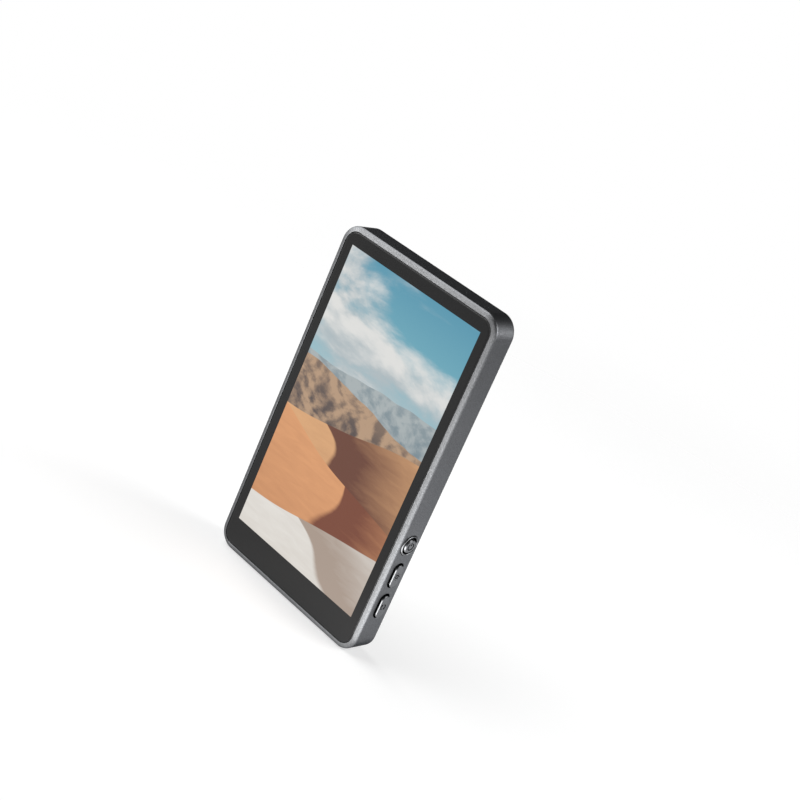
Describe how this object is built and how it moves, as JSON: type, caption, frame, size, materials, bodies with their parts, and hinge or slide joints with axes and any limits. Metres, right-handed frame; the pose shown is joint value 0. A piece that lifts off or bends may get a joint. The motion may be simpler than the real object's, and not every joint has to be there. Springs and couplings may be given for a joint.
{
  "type": "selfie monitor",
  "caption": "Slim pocket screen in a metal frame that clings to a phone's back by a magnet ring, with a round power button and oblong buttons on one side and a charging socket below.",
  "frame": {"origin": "middle of the soft rear pad's face, on the axis of the magnet ring", "axes": "+Z to the top of the picture, +Y out of the rear towards the phone, +X to the button side"},
  "size_m": [0.0673, 0.0099, 0.1171],
  "materials": {
    "frame_metal": "fine bead-blasted anodising, satin",
    "cap_metal": "satin anodising with bright bevels",
    "front_glass": "polished, with a dark painted border",
    "picture": "lit liquid crystal cell",
    "backlight": "white moulded frame and sheets",
    "clear_film": "clear film",
    "black_tape": "black foam tape",
    "rear_plastic": "fine moulded texture",
    "soft_pad": "soft-touch silicone",
    "magnet": "nickel plated",
    "steel": "zinc plated sheet",
    "screw_steel": "blackened",
    "brass_spacer": "turned",
    "cell_pouch": "foil pouch",
    "circuit_board": "solder mask",
    "chip_black": "moulded chip",
    "connector_plastic": "moulded connector",
    "flex_amber": "flexible printed circuit",
    "lead_black": "fine coaxial lead",
    "socket_steel": "bright rolled shell"
  },
  "bodies": {
    "housing": {"side_frame": "frame_metal", "cover_glass": "front_glass", "glass_adhesive": "black_tape", "display_bond_film": "clear_film", "display_panel": "picture", "backlight_unit": "backlight", "display_flex": "flex_amber", "display_connector": "connector_plastic", "chassis_plate": "steel", "rear_cover": "rear_plastic", "rear_pad": "soft_pad", "ring_magnets": "magnet", "magnet_shield": "steel", "battery": "cell_pouch", "battery_tape": "black_tape", "battery_connector": "connector_plastic", "battery_lead": "flex_amber", "main_board": "circuit_board", "board_standoffs": "brass_spacer", "cover_screws": "screw_steel", "board_screws": "steel", "chassis_screws": "steel", "shield_can": "steel", "wireless_module": "steel", "charge_chip": "chip_black", "power_inductor": "chip_black", "antenna": "flex_amber", "antenna_lead": "lead_black", "usb_shell": "socket_steel", "usb_tongue": "chip_black", "power_button_ring": "cap_metal", "power_switch_body": "chip_black", "brightness_switch_body": "chip_black", "rotate_switch_body": "chip_black"},
    "power_button": {"power_button": "cap_metal", "power_switch_plunger": "connector_plastic"},
    "brightness_button": {"brightness_button": "cap_metal", "brightness_switch_plunger": "connector_plastic"},
    "rotate_button": {"rotate_button": "cap_metal", "rotate_switch_plunger": "connector_plastic"}
  },
  "joints": [
    {"name": "power_press", "type": "slide", "parent": "housing", "child": "power_button", "axis": [-1, 0, 0], "range_m": [0, 0.0004], "stiffness_N_per_m": 1500, "springref_m": -0.0003},
    {"name": "brightness_press", "type": "slide", "parent": "housing", "child": "brightness_button", "axis": [-1, 0, 0], "range_m": [0, 0.0004], "stiffness_N_per_m": 1500, "springref_m": -0.0003},
    {"name": "rotate_press", "type": "slide", "parent": "housing", "child": "rotate_button", "axis": [-1, 0, 0], "range_m": [0, 0.0004], "stiffness_N_per_m": 1500, "springref_m": -0.0003}
  ]
}
